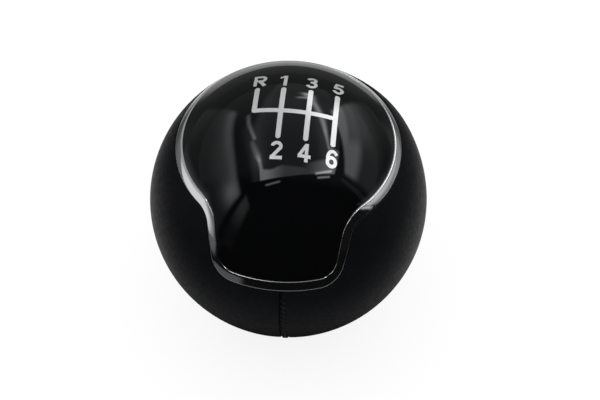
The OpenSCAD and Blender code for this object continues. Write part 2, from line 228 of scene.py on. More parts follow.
def on_ball(tilt, turn, radius):
    """Points on a ball of that radius, by their angle from the top and their turn from the front."""
    return np.c_[np.sin(tilt) * np.sin(turn), -np.sin(tilt) * np.cos(turn), np.cos(tilt)] * radius


def quarter(steps):
    """(cosine, sine) of the angles of a rounded edge, from its wall to its face."""
    angles = np.linspace(0, math.pi / 2, steps)
    return list(zip(np.cos(angles), np.sin(angles)))


def lift(rows):
    """Rows about the ball's centre as one list of points in the knob's frame."""
    return np.concatenate(rows) + np.array([0, 0, BALL_Z])


# How many steps the ring and the cap have in each stretch of the outline
STRETCHES = (20, 16, 26, 18, 110)
RING_AT = stations(STRETCHES)


def make_ring():
    """The chrome ring: walls down to its inner face, small rounded edges and a face that follows the ball."""
    in_edge = INNER_EDGE_R + INNER_EDGE_TONGUE * smooth(2.6, 1.8, np.abs(RING_AT))
    in_edge += INNER_EDGE_RIGHT * smooth(2.2, 2.8, RING_AT) * smooth(4.55, 4.3, RING_AT)
    rows = [edge(OUTER, 0, radius, RING_AT) for radius in (CAP_IN_R, RING_WALL_R)]
    for c, s in quarter(8):
        rows.append(edge(OUTER, -OUTER_EDGE_R * (1 - c), RING_R - OUTER_EDGE_R * (1 - s), RING_AT))
    low, high = rows[-1], edge(INNER, in_edge, RING_R, RING_AT)
    for share in np.linspace(0, 1, 14)[1:-1]:
        rows.append(between(low, high, share, RING_R + 4 * RING_BOW * share * (1 - share)))
    for c, s in reversed(quarter(6)):
        rows.append(edge(INNER, in_edge * (1 - c), RING_R - in_edge * (1 - s), RING_AT))
    rows += [edge(INNER, 0, radius, RING_AT) for radius in (RING_WALL_R, CAP_IN_R)]
    return new_object("chrome_ring", lift(rows), grid_faces(len(rows), len(RING_AT), True))


def make_cap():
    """The gloss cap: a polar grid over the dome, a rounded edge, its wall and the underside."""
    rings, inner_rings = 110, 24
    columns = len(RING_AT)
    pole = np.array([0.0, 0.0, 1.0])
    rim = edge(INNER, -SEAT_GAP - CAP_EDGE_R, CAP_R, RING_AT)
    under = edge(INNER, -SEAT_GAP, CAP_IN_R, RING_AT)
    rows = [turned(pole, rim, i / rings) * CAP_R for i in range(1, rings)]
    for c, s in reversed(quarter(7)):
        rows.append(edge(INNER, -SEAT_GAP - CAP_EDGE_R * (1 - c), CAP_R - CAP_EDGE_R * (1 - s), RING_AT))
    rows += [turned(pole, under, i / inner_rings) * CAP_IN_R for i in range(inner_rings, 0, -1)]
    top = len(rows) * columns
    faces = grid_faces(len(rows), columns, False) + fan(top, 0, columns)
    faces += flipped(fan(top + 1, top - columns, columns))
    return new_object("gloss_cap", lift(rows + [[pole * CAP_R], [pole * CAP_IN_R]]), faces)


def leather_stations():
    """Stations of the leather's columns, closer together either side of the seam."""
    step, right_end, left_end = 0.085, 3.4, 1.0
    corner_x = edge(OUTER, 0, BALL_R, np.array([1.0]))[0, 0]
    right = np.concatenate([np.arange(0, right_end, step), np.linspace(right_end, corner_x, 14)[:-1]])
    left = np.concatenate([np.arange(step, left_end, step), np.linspace(left_end, corner_x, 20)[:-1]])
    rest = np.concatenate([k + np.arange(n) / n for k, n in ((1, 14), (2, 22), (3, 14), (4, 96))])
    last = float(len(STRETCHES))
    return np.concatenate([right / corner_x, rest, [last], -rest[::-1], -left[::-1] / corner_x])


# Relief along the seam. The groove, the ridge and the stitches' valley each have their place to the right
# of the seam, their height and half their width.
SEAM_RELIEF = ((0.0, -0.36, 0.2), (0.45, 0.1, 0.22), (1.05, -0.1, 0.28))

# The leather also sinks this far at the seam, and rises again over about this width either side.
# All of it ends below this angle of the ball's front, in degrees.
SEAM_SINK = 0.08
SEAM_SINK_W = 1.2
SEAM_TOP = 60

# A soft swelling behind the ring's right: its height, then its turn from the front and its level in degrees,
# and its widths both ways
SWELL = 0.4
SWELL_PLACE = (130, 27)
SWELL_W = (24, 15)


def leather_relief(points):
    """How far the leather stands out at these points, or sinks in where that is negative."""
    x = points[:, 0] - SEAM_X
    seam = -SEAM_SINK * np.exp(-np.abs(x) / SEAM_SINK_W)
    for place, height, width in SEAM_RELIEF:
        seam += height * np.exp(-((x - place) / width) ** 2)
    along = np.degrees(np.arctan2(points[:, 2], -points[:, 1]))
    front = (points[:, 1] < 0) & (along < SEAM_TOP)
    turn = np.degrees(np.arctan2(points[:, 0], -points[:, 1]))
    level = np.degrees(np.arcsin(points[:, 2] / np.linalg.norm(points, axis=1)))
    away = ((turn - SWELL_PLACE[0]) / SWELL_W[0]) ** 2 + ((level - SWELL_PLACE[1]) / SWELL_W[1]) ** 2
    return np.where(front, seam, 0) + SWELL * np.exp(-away)


def make_leather():
    """The leather: its edge tucked in along the ring, the ball down to the collar's hole, and the inside."""
    at = leather_stations()
    steps, inner_steps = 150, 14
    inner_r = BALL_R - LEATHER_T
    inner_edge = edge(OUTER, SEAT_GAP, inner_r, at)
    roll = LEATHER_ROLL_R
    outside = [edge(OUTER, SEAT_GAP + roll * (1 - c), BALL_R - roll * (1 - s), at) for c, s in quarter(7)]
    top, inner_top = unit(outside[-1]), unit(inner_edge)
    turn, inner_turn = np.arctan2(top[:, 0], -top[:, 1]), np.arctan2(inner_top[:, 0], -inner_top[:, 1])
    tilt, inner_tilt = np.arccos(top[:, 2]), np.arccos(inner_top[:, 2])
    hole, inner_hole = (math.pi - math.asin(LEATHER_HOLE_R / radius) for radius in (BALL_R, inner_r))
    for share in np.arange(1, steps + 1) / steps:
        outside.append(on_ball(tilt + (hole - tilt) * share, turn, BALL_R))
    outside = [row * (1 + leather_relief(row) / BALL_R)[:, None] for row in outside]
    inside = []
    for share in np.arange(inner_steps, 0, -1) / inner_steps:
        down = inner_tilt + (inner_hole - inner_tilt) * share
        inside.append(on_ball(down, inner_turn + (turn - inner_turn) * share, inner_r))
    rows = [inner_edge] + outside + inside
    return new_object("leather_ball", lift(rows), grid_faces(len(rows), len(at), True))


# The printed gate, laid out flat in millimetres: x to the right, y to the back, from the ball's axis
LANES = (-6.12, -1.38, 3.49, 8.27)
LANE_BACK = 5.61
LANE_FRONT = -5.21
CROSSBAR_Y = 0.16
BAR_W = 0.9
DIGIT_H = 3.25
DIGIT_BACK_Y = 8.28
DIGIT_FRONT_Y = -7.8
DIGIT_W = 0.6
DIGIT_NUDGE = {"R": 0.3, "1": -0.25}

# A hairline across the rounded corner where the R's lane meets the crossbar. It is too thin to show.
HAIRLINE_W = 0.01

# How far the print stands out of the cap and reaches into it, and its longest straight side
PRINT_T = 0.03
PRINT_STEP = 0.4


def fill_line(start, end, width, round_ends=False):
    """Outline of a straight stroke, with square or round ends."""
    a, b = np.array(start, float), np.array(end, float)
    along = (b - a) / np.linalg.norm(b - a)
    out = np.array([along[1], -along[0]]) * width / 2
    if not round_ends:
        return np.array([a + out, b + out, b - out, a - out])
    turn = math.atan2(out[1], out[0])
    angles = turn + np.linspace(0, math.pi, 13)
    cap = np.c_[np.cos(angles), np.sin(angles)] * width / 2
    return np.concatenate([b + cap, a - cap])


def fill_arc(centre, radii, start, end, width):
    """Outline of a stroke along part of an ellipse, from one angle to another."""
    angles = np.radians(np.linspace(start, end, max(6, int(abs(end - start) / 12))))
    rim = np.c_[np.cos(angles), np.sin(angles)]
    outer = np.array(centre) + rim * (np.array(radii) + width / 2)
    inner = np.array(centre) + rim * (np.array(radii) - width / 2)
    ends = np.concatenate([outer, inner[::-1]])
    return ends if end > start else ends[::-1]


def digit_strokes(name):
    """The width of one plain sans-serif digit and its strokes, in millimetres from its lower left corner."""
    w, h = DIGIT_W, DIGIT_H
    low, high = w / 2, h - w / 2
    if name == "R":
        return 2.4, [
            fill_line((low, 0), (low, h), w),
            fill_line((low, high), (1.4, high), w),
            fill_line((low, 1.55), (1.4, 1.55), w),
            fill_arc((1.4, (high + 1.55) / 2), (0.62, (high - 1.55) / 2), -90, 90, w),
            fill_line((1.05, 1.55), (2.06, 0), w + 0.08),
        ]
    if name == "1":
        return 1.3, [
            fill_line((0.98, 0), (0.98, h), w + 0.04),
            np.array([(0, 2.2), (0.8, 2.55), (0.98, h), (0.7, h), (0.45, 2.92), (0, 2.72)]),
        ]
    if name == "2":
        return 2.15, [
            fill_arc((1.05, 2.27), (0.74, 0.68), -38, 172, w),
            fill_line((1.66, 1.95), (0.35, 0.42), w),
            fill_line((0.02, low), (2.15, low), w),
            fill_line((0.1, 0.42), (0.6, 0.42), w),
        ]
    if name == "3":
        return 2.05, [
            fill_arc((0.98, 2.38), (0.66, 0.57), -95, 165, w * 0.95),
            fill_arc((0.98, 1.04), (0.75, 0.74), -165, 95, w),
            fill_line((0.72, 1.74), (1.1, 1.74), w * 0.85),
        ]
    if name == "4":
        return 2.25, [
            fill_line((1.5, 0), (1.5, h), w),
            fill_line((0, 0.98), (2.25, 0.98), w * 0.95),
            fill_line((0.2, 0.95), (1.42, 3.05), w * 0.9),
        ]
    if name == "5":
        return 1.95, [
            fill_line((0.4, high), (1.8, high), w),
            fill_line((0.34, 1.5), (0.52, high), w * 0.9),
            fill_arc((0.93, 1.08), (0.72, 0.78), -165, 130, w),
        ]
    return 2.05, [
        fill_arc((1.03, 1.05), (0.7, 0.75), -90, 90, w),
        fill_arc((1.03, 1.05), (0.7, 0.75), 90, 270, w),
        fill_arc((1.15, 1.65), (0.83, 1.3), 35, 190, w * 0.95),
    ]


def gate_outlines():
    """Outlines of every stroke of the printed gate."""
    made = []
    for x in LANES[1:]:
        made.append(fill_line((x, LANE_BACK), (x, LANE_FRONT), BAR_W, True))
    made.append(fill_line((LANES[0], LANE_BACK), (LANES[0], CROSSBAR_Y), BAR_W, True))
    made.append(fill_line((LANES[0], CROSSBAR_Y), (LANES[3], CROSSBAR_Y), BAR_W))
    corner = np.array([LANES[0], CROSSBAR_Y]) - BAR_W / 2
    made.append(fill_line(corner, corner + BAR_W, HAIRLINE_W))
    rows = ((DIGIT_BACK_Y, "R135", LANES), (DIGIT_FRONT_Y, "246", LANES[1:]))
    for y, names, lanes in rows:
        for name, x in zip(names, lanes):
            width, strokes = digit_strokes(name)
            start = np.array([x + DIGIT_NUDGE.get(name, 0) - width / 2, y - DIGIT_H / 2])
            made += [stroke + start for stroke in strokes]
    return made


def finely(outline):
    """The outline with points added, so that no side is longer than the print's step."""
    points = []
    for a, b in zip(outline, np.roll(outline, -1, axis=0)):
        count = max(1, int(math.ceil(np.linalg.norm(b - a) / PRINT_STEP)))
        points += [a + (b - a) * i / count for i in range(count)]
    return points


def make_print():
    """The gate as one thin closed layer on the cap, merged from its strokes."""
    points, faces = [], []
    for outline in map(finely, gate_outlines()):
        faces.append(list(range(len(points), len(points) + len(outline))))
        points += [Vector(point) for point in outline]
    flat, _, triangles, _, _, sources = delaunay_2d_cdt(points, [], faces, 1, 1e-5)
    kept = [list(t) for t, found in zip(triangles, sources) if found]
    used = sorted({i for t in kept for i in t})
    number = {i: k for k, i in enumerate(used)}
    kept = [[number[i] for i in t] for t in kept]
    plan = np.array([flat[i] for i in used])
    layers = []
    for radius in (CAP_R + PRINT_T, CAP_R - PRINT_T):
        layers.append(np.c_[plan, np.sqrt(radius ** 2 - (plan ** 2).sum(axis=1)) + BALL_Z])
    count = len(used)
    sides = {(t[k], t[(k + 1) % 3]) for t in kept for k in range(3)}
    rim = [side for side in sides if side[::-1] not in sides]
    all_faces = kept + [[i + count for i in t[::-1]] for t in kept]
    all_faces += [[b, a, a + count, b + count] for a, b in rim]
    sharp = rim + [(a + count, b + count) for a, b in rim]
    return new_object("gate_print", np.concatenate(layers), all_faces, sharp)


# Stitches, in a row to the right of the seam. Their slant is in degrees, and so are the row's gaps
# below the ring and above the collar.
STITCH_PITCH = 1.35
STITCH_L = 1.15
STITCH_SLANT = 50
STITCH_X = SEAM_X + 0.55
STITCH_SINK = 0.04
STITCH_TOP_GAP = 5
STITCH_FOOT_GAP = 3
THREAD_R = 0.13


def capsule(radius, length, around=12, along=5):
    """Points and faces of a round-ended pin along z."""
    points = []
    for i in range(1, 2 * along):
        a = -math.pi / 2 + math.pi * i / (2 * along)
        z = radius * math.sin(a) + math.copysign(length / 2 - radius, i - along)
        for t in 2 * math.pi * np.arange(around) / around:
            points.append((radius * math.cos(a) * math.cos(t), radius * math.cos(a) * math.sin(t), z))
    tip = len(points)
    faces = grid_faces(2 * along - 1, around, False) + fan(tip, 0, around)
    faces += flipped(fan(tip + 1, tip - around, around))
    return np.array(points + [(0, 0, -length / 2), (0, 0, length / 2)]), faces


def make_stitches():
    """Slanted stitches on the right of the seam, half sunk into the leather."""
    pin, pin_faces = capsule(THREAD_R, STITCH_L)
    lean = np.array(Matrix.Rotation(-math.radians(STITCH_SLANT), 3, "Y"))
    pin = pin @ lean.T + np.array([0, STITCH_SINK - BALL_R, 0])
    swing = Matrix.Rotation(math.asin(STITCH_X / BALL_R), 3, "Z")
    high = math.asin(RING_FOOT / BALL_R) - math.radians(STITCH_TOP_GAP)
    low = math.radians(STITCH_FOOT_GAP) - math.acos(LIP_R / BALL_R)
    step = STITCH_PITCH / BALL_R
    rows, faces = [], []
    for i in range(int((high - low) / step) + 1):
        turn = Matrix.Rotation(-low - i * step, 3, "X") @ swing
        faces += [[k + i * len(pin) for k in face] for face in pin_faces]
        rows.append(pin @ np.array(turn).T)
    return new_object("seam_stitches", lift(rows), faces)


# The base collar. Heights are above its foot.
COLLAR_BORE_R = 9.3
COLLAR_R = 11.5
FOOT_CHAMFER = 0.4
GROOVE_R = 10.6
GROOVE_LOW = 1.6
GROOVE_TOP = 3.4
LIP_R = 13.0
LIP_LOW = 4.6
LIP_HIGH = 6.0
LIP_TOP = 7.43

# The spigot above the collar, with the bead that snaps into the tube
SPIGOT_R = 10.15
SPIGOT_IN_R = 8.4
SPIGOT_LOW = 6.02
SPIGOT_TOP = 10.35
BEAD_R = 10.5
BEAD_LOW = 8.75
BEAD_TOP = 9.55
BEAD_SLOPE = 0.2
SHELF = 4.2


def rounded(corners, steps=5):
    """A closed profile whose corners (x, z, cut) are eased by short curves that start that far from them."""
    points = []
    for k, (x, z, cut) in enumerate(corners):
        here = np.array([x, z])
        if not cut:
            points.append(here)
            continue
        sides = []
        for other in (corners[k - 1], corners[(k + 1) % len(corners)]):
            way = np.array(other[:2]) - here
            sides.append(here + way * min(cut / np.linalg.norm(way), 0.45))
        for t in np.linspace(0, 1, steps):
            points.append((1 - t) ** 2 * sides[0] + 2 * t * (1 - t) * here + t * t * sides[1])
    return np.array(points)


def make_collar():
    """The base collar: foot, gaiter groove, a lip cupped to the ball, and the spigot that snaps in."""
    cup_r = BALL_R + SEAT_GAP
    across = np.linspace(LIP_R - 0.15, SPIGOT_R + 0.15, 9)
    cup = [(x, BALL_Z - math.sqrt(cup_r ** 2 - x * x), 0) for x in across]
    foot = [
        (COLLAR_BORE_R, 0, 0.25), (COLLAR_R - FOOT_CHAMFER, 0, 0.15), (COLLAR_R, FOOT_CHAMFER, 0.15),
        (COLLAR_R, GROOVE_LOW, 0.12), (GROOVE_R, GROOVE_LOW, 0.15),
        (GROOVE_R, GROOVE_TOP, 0.15), (COLLAR_R, GROOVE_TOP, 0.12),
    ]
    lip = [(COLLAR_R, LIP_LOW, 0.3), (LIP_R, LIP_HIGH, 0.3), (LIP_R, LIP_TOP, 0.15)]
    spigot = [
        (SPIGOT_R, SPIGOT_LOW, 0.1), (SPIGOT_R, BEAD_LOW, 0.1), (BEAD_R, BEAD_LOW + BEAD_SLOPE, 0.1),
        (BEAD_R, BEAD_TOP - BEAD_SLOPE, 0.1), (SPIGOT_R, BEAD_TOP, 0.1), (SPIGOT_R, SPIGOT_TOP, 0.2),
        (SPIGOT_IN_R, SPIGOT_TOP, 0.2), (SPIGOT_IN_R, SHELF, 0.1), (COLLAR_BORE_R, SHELF, 0.1),
    ]
    profile = rounded(foot + lip + cup + spigot)
    turn = np.linspace(0, 2 * math.pi, 160, endpoint=False)
    rows = [np.c_[x * np.sin(turn), -x * np.cos(turn), np.full(len(turn), z)] for x, z in profile]
    return new_object("collar", np.concatenate(rows), grid_faces(len(rows), len(turn), True))


# Materials


class Paint:
    """A node material: its Principled shader, and short calls that add nodes."""

    def __init__(self, name):
        self.material = bpy.data.materials.new(name)
        self.material.use_nodes = True
        self.nodes = self.material.node_tree.nodes
        self.links = self.material.node_tree.links
        self.shader = self.nodes["Principled BSDF"]
        self.place = self.add("ShaderNodeTexCoord").outputs["Object"]

    def add(self, kind, **values):
        """A new node with these settings or input values."""
        node = self.nodes.new(kind)
        for key, value in values.items():
            if hasattr(node, key):
                setattr(node, key, value)
            else:
                node.inputs[key].default_value = value
        return node

    def link(self, a, b):
        self.links.new(a, b)

    def set(self, **values):
        """Constants of the shader's inputs, with underscores for their spaces."""
        for key, value in values.items():
            self.shader.inputs[key.replace("_", " ")].default_value = value

    def noise(self, size, detail=3.0):
        """Noise whose patches are about this many millimetres across."""
        node = self.add("ShaderNodeTexNoise", Scale=1 / (size * MM), Detail=detail)
        self.link(self.place, node.inputs["Vector"])
        return node.outputs["Fac"]

    def cells(self, size, warp=0.3):
        """Distance from the borders of uneven cells of this size in millimetres."""
        bend = self.add("ShaderNodeTexNoise", Scale=0.6 / (size * MM), Detail=2.0)
        shift = self.add("ShaderNodeVectorMath", operation="MULTIPLY_ADD")
        node = self.add("ShaderNodeTexVoronoi", feature="DISTANCE_TO_EDGE", Scale=1 / (size * MM))
        self.link(self.place, bend.inputs["Vector"])
        self.link(bend.outputs["Color"], shift.inputs[0])
        shift.inputs[1].default_value = (size * MM * warp,) * 3
        self.link(self.place, shift.inputs[2])
        self.link(shift.outputs[0], node.inputs["Vector"])
        return node.outputs["Distance"]

    def rings(self, size, bend):
        """Fine turned lines round the axis, this many millimetres apart."""
        scale = 0.31 / (size * MM)
        node = self.add("ShaderNodeTexWave", bands_direction="Z", Scale=scale, Distortion=bend, Detail=2.0)
        self.link(self.place, node.inputs["Vector"])
        return node.outputs["Fac"]

    def spread(self, value, low, high, start=0.0, end=1.0):
        """The value, read between start and end, spread from low to high."""
        node = self.add("ShaderNodeMapRange")
        for name, number in (("From Min", start), ("From Max", end), ("To Min", low), ("To Max", high)):
            node.inputs[name].default_value = number
        self.link(value, node.inputs["Value"])
        return node.outputs["Result"]

    def colour(self, value, low, high, start=0.3, end=0.7):
        """The base colour goes from low to high with the value."""
        node = self.add("ShaderNodeMix", data_type="RGBA")
        pick = [i for i in node.inputs if i.type == "RGBA"]
        pick[0].default_value, pick[1].default_value = (*low, 1), (*high, 1)
        self.link(self.spread(value, 0, 1, start, end), node.inputs["Factor"])
        out = [o for o in node.outputs if o.type == "RGBA"][0]
        self.link(out, self.shader.inputs["Base Color"])

    def rough(self, value, low, high, start=0.3, end=0.7):
        """The roughness goes from low to high with the value."""
        self.link(self.spread(value, low, high, start, end), self.shader.inputs["Roughness"])

    def bump(self, *layers):
        """Relief from (height, strength, depth in millimetres) layers."""
        last = None
        for height, strength, depth in layers:
            node = self.add("ShaderNodeBump", Strength=strength, Distance=depth * MM)
            self.link(height, node.inputs["Height"])
            if last:
                self.link(last.outputs[0], node.inputs["Normal"])
            last = node
        self.link(last.outputs[0], self.shader.inputs["Normal"])


def leather_paint():
    """Black leather with a fine pebbled grain that shows as relief only."""
    p = Paint("leather")
    p.set(Specular_IOR_Level=0.078, Specular_Tint=(0.97, 0.99, 1.03, 1))
    grain, pores, patches = p.spread(p.cells(0.75), 0, 1, 0.0, 0.12), p.noise(0.16), p.noise(4, 4)
    p.colour(patches, (0.0039, 0.0043, 0.0057), (0.0049, 0.0054, 0.0069))
    p.rough(p.noise(0.9), 0.44, 0.56)
    p.bump((grain, 0.3, 0.03), (pores, 0.25, 0.02), (patches, 0.15, 0.12))
    return p.material


def thread_paint():
    """Black thread with a fibrous sheen."""
    p = Paint("thread")
    p.set(Specular_IOR_Level=0.3)
    fibres = p.noise(0.05, 2)
    p.colour(fibres, (0.006, 0.0065, 0.0075), (0.014, 0.015, 0.017))
    p.rough(fibres, 0.45, 0.65)
    p.bump((fibres, 0.5, 0.02))
    return p.material


def chrome_paint():
    """Bright chrome with a faint haze."""
    p = Paint("chrome")
    p.set(Metallic=1.0)
    haze, speck = p.noise(3, 4), p.noise(0.12, 2)
    p.colour(haze, (0.85, 0.86, 0.885), (0.89, 0.895, 0.915))
    p.rough(haze, 0.04, 0.09)
    p.bump((speck, 0.04, 0.01))
    return p.material


def gloss_paint():
    """Gloss black plastic."""
    p = Paint("gloss")
    p.set(Specular_Tint=(0.97, 1.0, 1.02, 1))
    haze = p.noise(5, 4)
    p.colour(haze, (0.0017, 0.0019, 0.0022), (0.002, 0.0021, 0.0025))
    p.rough(haze, 0.005, 0.02)
    p.bump((p.noise(7, 2), 0.05, 0.02))
    return p.material


def print_paint():
    """Silvery print with fine flakes."""
    p = Paint("print")
    p.set(Metallic=0.67)
    flakes = p.noise(0.09, 2)
    p.colour(flakes, (0.86, 0.865, 0.875), (0.93, 0.935, 0.945))
    p.rough(flakes, 0.28, 0.4)
    p.bump((flakes, 0.15, 0.01))
    return p.material


def plastic_paint(name, dark, light, size=0.18, roughness=0.5):
    """Moulded plastic with a fine eroded grain and slightly uneven gloss."""
    p = Paint(name)
    p.set(Specular_IOR_Level=0.4)
    grain, flow = p.noise(size, 2), p.noise(6, 3)
    p.colour(flow, dark, light)
    p.rough(flow, roughness - 0.06, roughness + 0.06)
    p.bump((grain, 0.35, 0.03))
    return p.material


def turned_paint(name, dark, light, lines=0.12, roughness=0.32):
    """Turned or drawn steel: fine lines round the axis, duller patches."""
    p = Paint(name)
    p.set(Metallic=1.0)
    cut, patches = p.rings(lines, 0.4), p.noise(2.5, 4)
    p.colour(patches, dark, light)
    p.rough(patches, roughness - 0.08, roughness + 0.1)
    p.bump((cut, 0.12, 0.01), (p.noise(0.3), 0.1, 0.01))
    return p.material


def cast_paint():
    """Dull cast metal with an uneven skin."""
    p = Paint("cast")
    p.set(Metallic=0.9)
    skin, patches = p.noise(0.5, 4), p.noise(4, 4)
    p.colour(patches, (0.3, 0.31, 0.32), (0.48, 0.49, 0.5))
    p.rough(patches, 0.45, 0.7)
    p.bump((skin, 0.4, 0.06), (p.noise(2.2), 0.2, 0.1))
    return p.material


def rubber_paint():
    """Dull black rubber, a little dusty."""
    p = Paint("rubber")
    p.set(Specular_IOR_Level=0.25)
    dust = p.noise(1.6, 5)
    p.colour(dust, (0.016, 0.016, 0.016), (0.034, 0.033, 0.032))
    p.rough(dust, 0.65, 0.85)
    p.bump((p.noise(0.22), 0.3, 0.03))
    return p.material


# The light tent that the knob's glossy pieces mirror. Its brightness is worked out from the direction of the
# reflection, by soft steps. On a wall u is the distance to the back and v the height, and on the ceiling
# a is the distance to the right and b to the back, each over the distance of that wall or ceiling.

STUDIO_R = 2.0

# Bright lines on the ceiling: the places (a, b) of both ends, and the half widths and levels there
CEILING_LINES = (
    # Left edge of the roof, from the back to the front, and a broad glow along it
    ((-0.72, 0.85), (-0.65, 0.6), (0.04, 0.035), (0.9, 1.4)),
    ((-0.65, 0.6), (-0.5, 0.27), (0.035, 0.03), (1.3, 2.2)),
    ((-0.53, 0.2), (-0.44, 0.0), (0.045, 0.05), (1.0, 2.0)),
    ((-0.44, 0.0), (-0.4, -0.1), (0.05, 0.03), (2.1, 5.0)),
    ((-0.4, -0.1), (-0.375, -0.22), (0.03, 0.03), (4.0, 2.6)),
    ((-0.62, 0.5), (-0.42, -0.1), (0.12, 0.12), (0.2, 0.35)),
    # Back end, the right edge from the back to the front, and a broad glow along that
    ((0.2, 1.75), (0.27, 1.4), (0.1, 0.07), (5.0, 3.2)),
    ((0.05, 1.42), (0.2, 1.5), (0.05, 0.07), (2.0, 4.0)),
    ((0.27, 1.4), (0.43, 0.75), (0.06, 0.05), (3.0, 3.6)),
    ((0.43, 0.75), (0.48, 0.5), (0.05, 0.035), (3.6, 4.5)),
    ((0.48, 0.5), (0.55, 0.25), (0.035, 0.03), (4.2, 2.2)),
    ((0.42, 0.75), (0.52, 0.1), (0.12, 0.1), (0.35, 0.3)),
    # Short glints at the roof's front edge
    ((0.43, -0.22), (0.68, -0.125), (0.018, 0.018), (5.0, 9.0)),
    ((-0.3, -0.49), (-0.1, -0.42), (0.015, 0.015), (2.0, 2.0)),
    ((0.48, -0.28), (0.67, -0.225), (0.015, 0.015), (4.0, 4.0)),
)


def lit_line(a, b, start, end, widths, levels):
    """Brightness of one line on the ceiling."""
    run = np.array(end) - np.array(start)
    t = np.clip(((a - start[0]) * run[0] + (b - start[1]) * run[1]) / (run @ run), 0, 1)
    away = np.hypot(a - start[0] - t * run[0], b - start[1] - t * run[1])
    width = widths[0] + (widths[1] - widths[0]) * t
    return (levels[0] + (levels[1] - levels[0]) * t) * np.exp(-(away / width) ** 2)


def left_wall(u, v):
    """Brightness of the left wall."""
    # The wall's upper edge is lower towards the back, and shines. A lamp stands at its front end.
    top = 1.18 - 0.24 * smooth(-0.2, 1.1, u)
    wall = smooth(-0.86, -0.72, u) * smooth(1.2, 1.0, u) * smooth(top + 0.08, top - 0.08, v)
    glow = 0.12 + 0.3 * smooth(0.4, 0.9, v) + 0.42 * np.exp(-((v - top + 0.14) / 0.12) ** 2)
    lamp = 1.05 * np.exp(-((u + 0.58) / 0.2) ** 2 - ((v - 0.86) / 0.2) ** 2)
    # The bright band along its foot is highest a little in front of the middle, and dim at its front end
    band_top = 0.44 - 0.42 * np.maximum(u + 0.3, -1.2 * (u + 0.3))
    band = smooth(-1.05, -0.75, u) * smooth(0.75, 0.1, u) * smooth(band_top, band_top - 0.15, v)
    band = band * (0.1 + 0.46 * smooth(-0.75, -0.45, u))
    # A dim strip in front of the wall
    strip = smooth(-1.5, -1.2, u) * smooth(-0.9, -1.05, u) * smooth(1.45, 1.3, v)
    strip = strip * (0.04 + 0.33 * smooth(0.35, 1.1, v))
    return wall * (glow + lamp) * smooth(-0.3, 0.1, v) + band + strip


def right_wall(u, v):
    """Brightness of the right wall."""
    # The wall rises towards the back and is brightest at the top
    top = 1.02 + 0.33 * u
    wall = smooth(-0.13, -0.01, u) * smooth(2.15, 1.8, u) * smooth(top + 0.06, top - 0.05, v)
    glow = 0.06 + 0.15 * smooth(0.15, 0.4, v) + 0.3 * smooth(0.35, 0.6, v) * smooth(0.3, 0.9, u)
    high = smooth(0.6, 0.82, v) * (1.35 - smooth(0.4, 0.8, u) * smooth(1.12, 0.95, v))
    # A faint upright line in front of it
    line = smooth(-0.24, -0.23, u) * smooth(-0.16, -0.17, u)
    line = 0.12 * line * smooth(1.1, 1.0, v) * smooth(-0.1, 0.3, v)
    # The bright band along its foot sinks towards the back, and is brighter at its top
    rise = v - 0.235 + 0.33 * u
    band = 0.12 + 0.3 * smooth(-0.12, 0, rise) + 0.35 * smooth(0.7, 0.1, u) * smooth(0.03, 0.08, rise)
    band_top = 0.36 - 0.42 * u
    # Its front end leans forward. Before it come a dark gap and a narrow bright sliver.
    lean = u + 0.05 + 0.45 * v
    sliver = smooth(-0.025, -0.04, lean) * smooth(-0.09, -0.075, lean) * smooth(0.15, 0.2, v)
    band = band * (smooth(-0.01, 0.005, lean) + sliver) * smooth(band_top, band_top - 0.12, v)
    return wall * (glow + high) * smooth(-0.5, 0.1, v) + line + band


def ceiling(a, b):
    """Brightness of the ceiling: a grey roof with lit edges."""
    lines = np.maximum.reduce([lit_line(a, b, *line) for line in CEILING_LINES])
    # The roof ends at its front edge, which runs a little askew
    front = 0.23 * a - 0.33
    shape = smooth(-0.6, -0.45, a) * smooth(0.78, 0.74, a) * smooth(front - 0.01, front + 0.015, b)
    grey = 0.12 + 0.06 * smooth(0.0, 0.5, b) + 0.1 * smooth(-0.25, -0.5, a) - 0.1 * smooth(1.1, 1.7, b)
    # Its bright parts: a brim along the front, the right corner, and a box at the right
    brim_back = 0.07 * smooth(-0.25, -0.05, a) - 0.215
    brim = smooth(-0.41, -0.385, a) * smooth(0.0, -0.05, b - brim_back) * (0.5 + 2.0 * smooth(0.0, -0.34, a))
    corner_back = 0.45 * (a - 0.3) - 0.04
    corner = 2.2 * smooth(0.15, 0.7, a) * smooth(0.0, -0.07, b - corner_back)
    box = 1.7 * smooth(0.53, 0.56, a) * smooth(0.28, 0.25, b)
    roof = shape * (grey + np.maximum.reduce([brim * (a < 0.6), corner, box]))
    return lines + roof + 0.07 * smooth(-0.45, -0.2, b)


def studio_light(d):
    """Brightness of the light tent in each direction: dark at the camera, a lit wall on each side, a roof."""
    x, y, z = d[:, 0], d[:, 1], d[:, 2]
    side, up = np.maximum(np.abs(x), 1e-6), np.maximum(z, 1e-3)
    walls = np.where(x < 0, left_wall(y / side, z / side), right_wall(y / side, z / side))
    roof = np.where(z > 0.3, ceiling(x / up, y / up), 0)
    return 0.006 + 0.1 * smooth(0.3, 0.85, y) + walls + roof


def new_stage(name, points, faces, levels):
    """An object in metres whose points carry a brightness, and the node tree of its still empty material."""
    mesh = bpy.data.meshes.new(name)
    mesh.from_pydata(points.tolist(), [], faces)
    mesh.attributes.new("level", "FLOAT", "POINT").data.foreach_set("value", levels.astype(np.float32))
    material = bpy.data.materials.new(name)
    material.use_nodes = True
    material.cycles.emission_sampling = "NONE"
    material.node_tree.nodes.clear()
    mesh.materials.append(material)
    obj = bpy.data.objects.new(name, mesh)
    bpy.context.scene.collection.objects.link(obj)
    return obj, material.node_tree


def level_emission(tree):
    """Output of an emission as bright as the points say."""
    source = tree.nodes.new("ShaderNodeAttribute")
    source.attribute_name = "level"
    emission = tree.nodes.new("ShaderNodeEmission")
    tree.links.new(source.outputs["Fac"], emission.inputs["Strength"])
    return emission.outputs[0]


